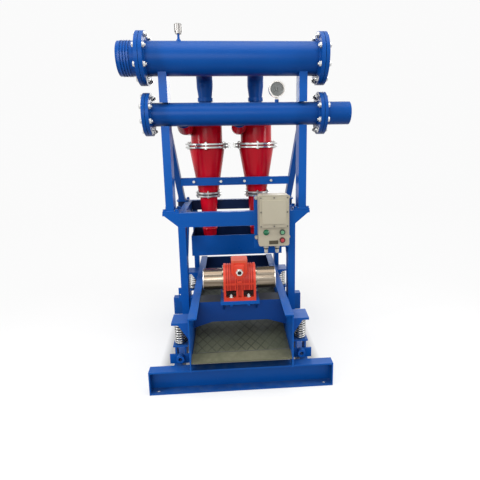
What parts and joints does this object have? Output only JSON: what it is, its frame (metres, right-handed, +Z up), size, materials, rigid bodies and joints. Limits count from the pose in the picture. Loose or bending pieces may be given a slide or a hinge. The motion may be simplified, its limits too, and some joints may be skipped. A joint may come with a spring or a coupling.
{
  "type": "desander",
  "caption": "Drilling mud desander: cone cyclones under pipe headers on a skid frame, above a spring-mounted vibrating screen with its motor and a control box.",
  "frame": {"origin": "middle of the skid's footprint, on the ground", "axes": "+Z up; -Y is the front, where the screen discharges; +X is the feed pipe's side"},
  "size_m": [1.5375, 1.226, 2.236],
  "materials": {
    "blue_paint": "gloss",
    "red_moulding": "gloss",
    "zinc_steel": "zinc plated",
    "motor_red": "gloss",
    "stainless": "bright rolled",
    "machined_steel": "machined",
    "stator_iron": "laminated",
    "gasket_rubber": "matt",
    "screen_mesh": "woven",
    "gauge_steel": "satin",
    "gauge_glass": "clear",
    "pointer_black": "satin",
    "box_beige": "satin",
    "lamp_green": "gloss",
    "button_green": "satin",
    "button_red": "satin",
    "valve_steel": "weathered"
  },
  "bodies": {
    "skid": {"box_bracket": "blue_paint", "box_cover": "box_beige", "box_glands": "box_beige", "box_housing": "box_beige", "box_lamp": "lamp_green", "brace_left": "blue_paint", "brace_right": "blue_paint", "clamp_rings_left": "zinc_steel", "clamp_rings_right": "zinc_steel", "cone_rail": "blue_paint", "cyclone_head_left": "red_moulding", "cyclone_head_right": "red_moulding", "feed_blind_flange": "blue_paint", "feed_header": "blue_paint", "feed_stub": "blue_paint", "flange_bolts": "zinc_steel", "flange_gaskets": "gasket_rubber", "front_post_left": "blue_paint", "front_post_right": "blue_paint", "gauge_case": "gauge_steel", "gauge_glass": "gauge_glass", "hose_nipple": "blue_paint", "lower_cone_left": "red_moulding", "lower_cone_right": "red_moulding", "overflow_blind_flange": "blue_paint", "overflow_header": "blue_paint", "platform_front_beam": "blue_paint", "platform_rear_beam": "blue_paint", "platform_side_beam_left": "blue_paint", "platform_side_beam_right": "blue_paint", "rear_post_left": "blue_paint", "rear_post_right": "blue_paint", "riser_left": "blue_paint", "riser_right": "blue_paint", "skid_front_rail": "blue_paint", "skid_rear_rail": "blue_paint", "skid_sill_left": "blue_paint", "skid_sill_right": "blue_paint", "springs": "zinc_steel", "underflow_hopper": "blue_paint", "upper_cone_left": "red_moulding", "upper_cone_right": "red_moulding", "upper_post_left": "blue_paint", "upper_post_right": "blue_paint", "vent_valve": "valve_steel"},
    "basket": {"basket_wall_left": "blue_paint", "basket_wall_right": "blue_paint", "basket_rear_plate": "blue_paint", "basket_cross_beam": "blue_paint", "screen_panels": "screen_mesh", "discharge_lip": "screen_mesh", "motor_casing": "motor_red", "motor_end_covers": "stainless", "motor_stator": "stator_iron", "motor_terminal_cover": "motor_red", "motor_gland": "stainless"},
    "rotor": {"motor_rotor": "machined_steel"},
    "pointer": {"gauge_pointer": "pointer_black"},
    "start_button": {"box_start_button": "button_green"},
    "stop_button": {"box_stop_button": "button_red"}
  },
  "joints": [
    {"name": "basket_ride", "type": "slide", "parent": "skid", "child": "basket", "axis": [0, 0, 1], "range_m": [-0.008, 0.008], "stiffness_N_per_m": 131000, "springref_m": 0.01618, "deforming": ["springs"]},
    {"name": "motor_spin", "type": "hinge", "parent": "basket", "child": "rotor", "pos_m": [0, -0.338, 0.632], "axis": [1, 0, 0], "continuous": true},
    {"name": "start_push", "type": "slide", "parent": "skid", "child": "start_button", "axis": [0, 1, 0], "range_m": [0, 0.005], "stiffness_N_per_m": 600, "springref_m": -0.003},
    {"name": "stop_push", "type": "slide", "parent": "skid", "child": "stop_button", "axis": [0, 1, 0], "range_m": [0, 0.005], "stiffness_N_per_m": 600, "springref_m": -0.003},
    {"name": "pointer_sweep", "type": "hinge", "parent": "skid", "child": "pointer", "pos_m": [0.293, 0.052, 1.827], "axis": [0, 1, 0], "range_deg": [0, 270], "stiffness_Nm_per_rad": 0.001, "springref_deg": -11.46}
  ]
}
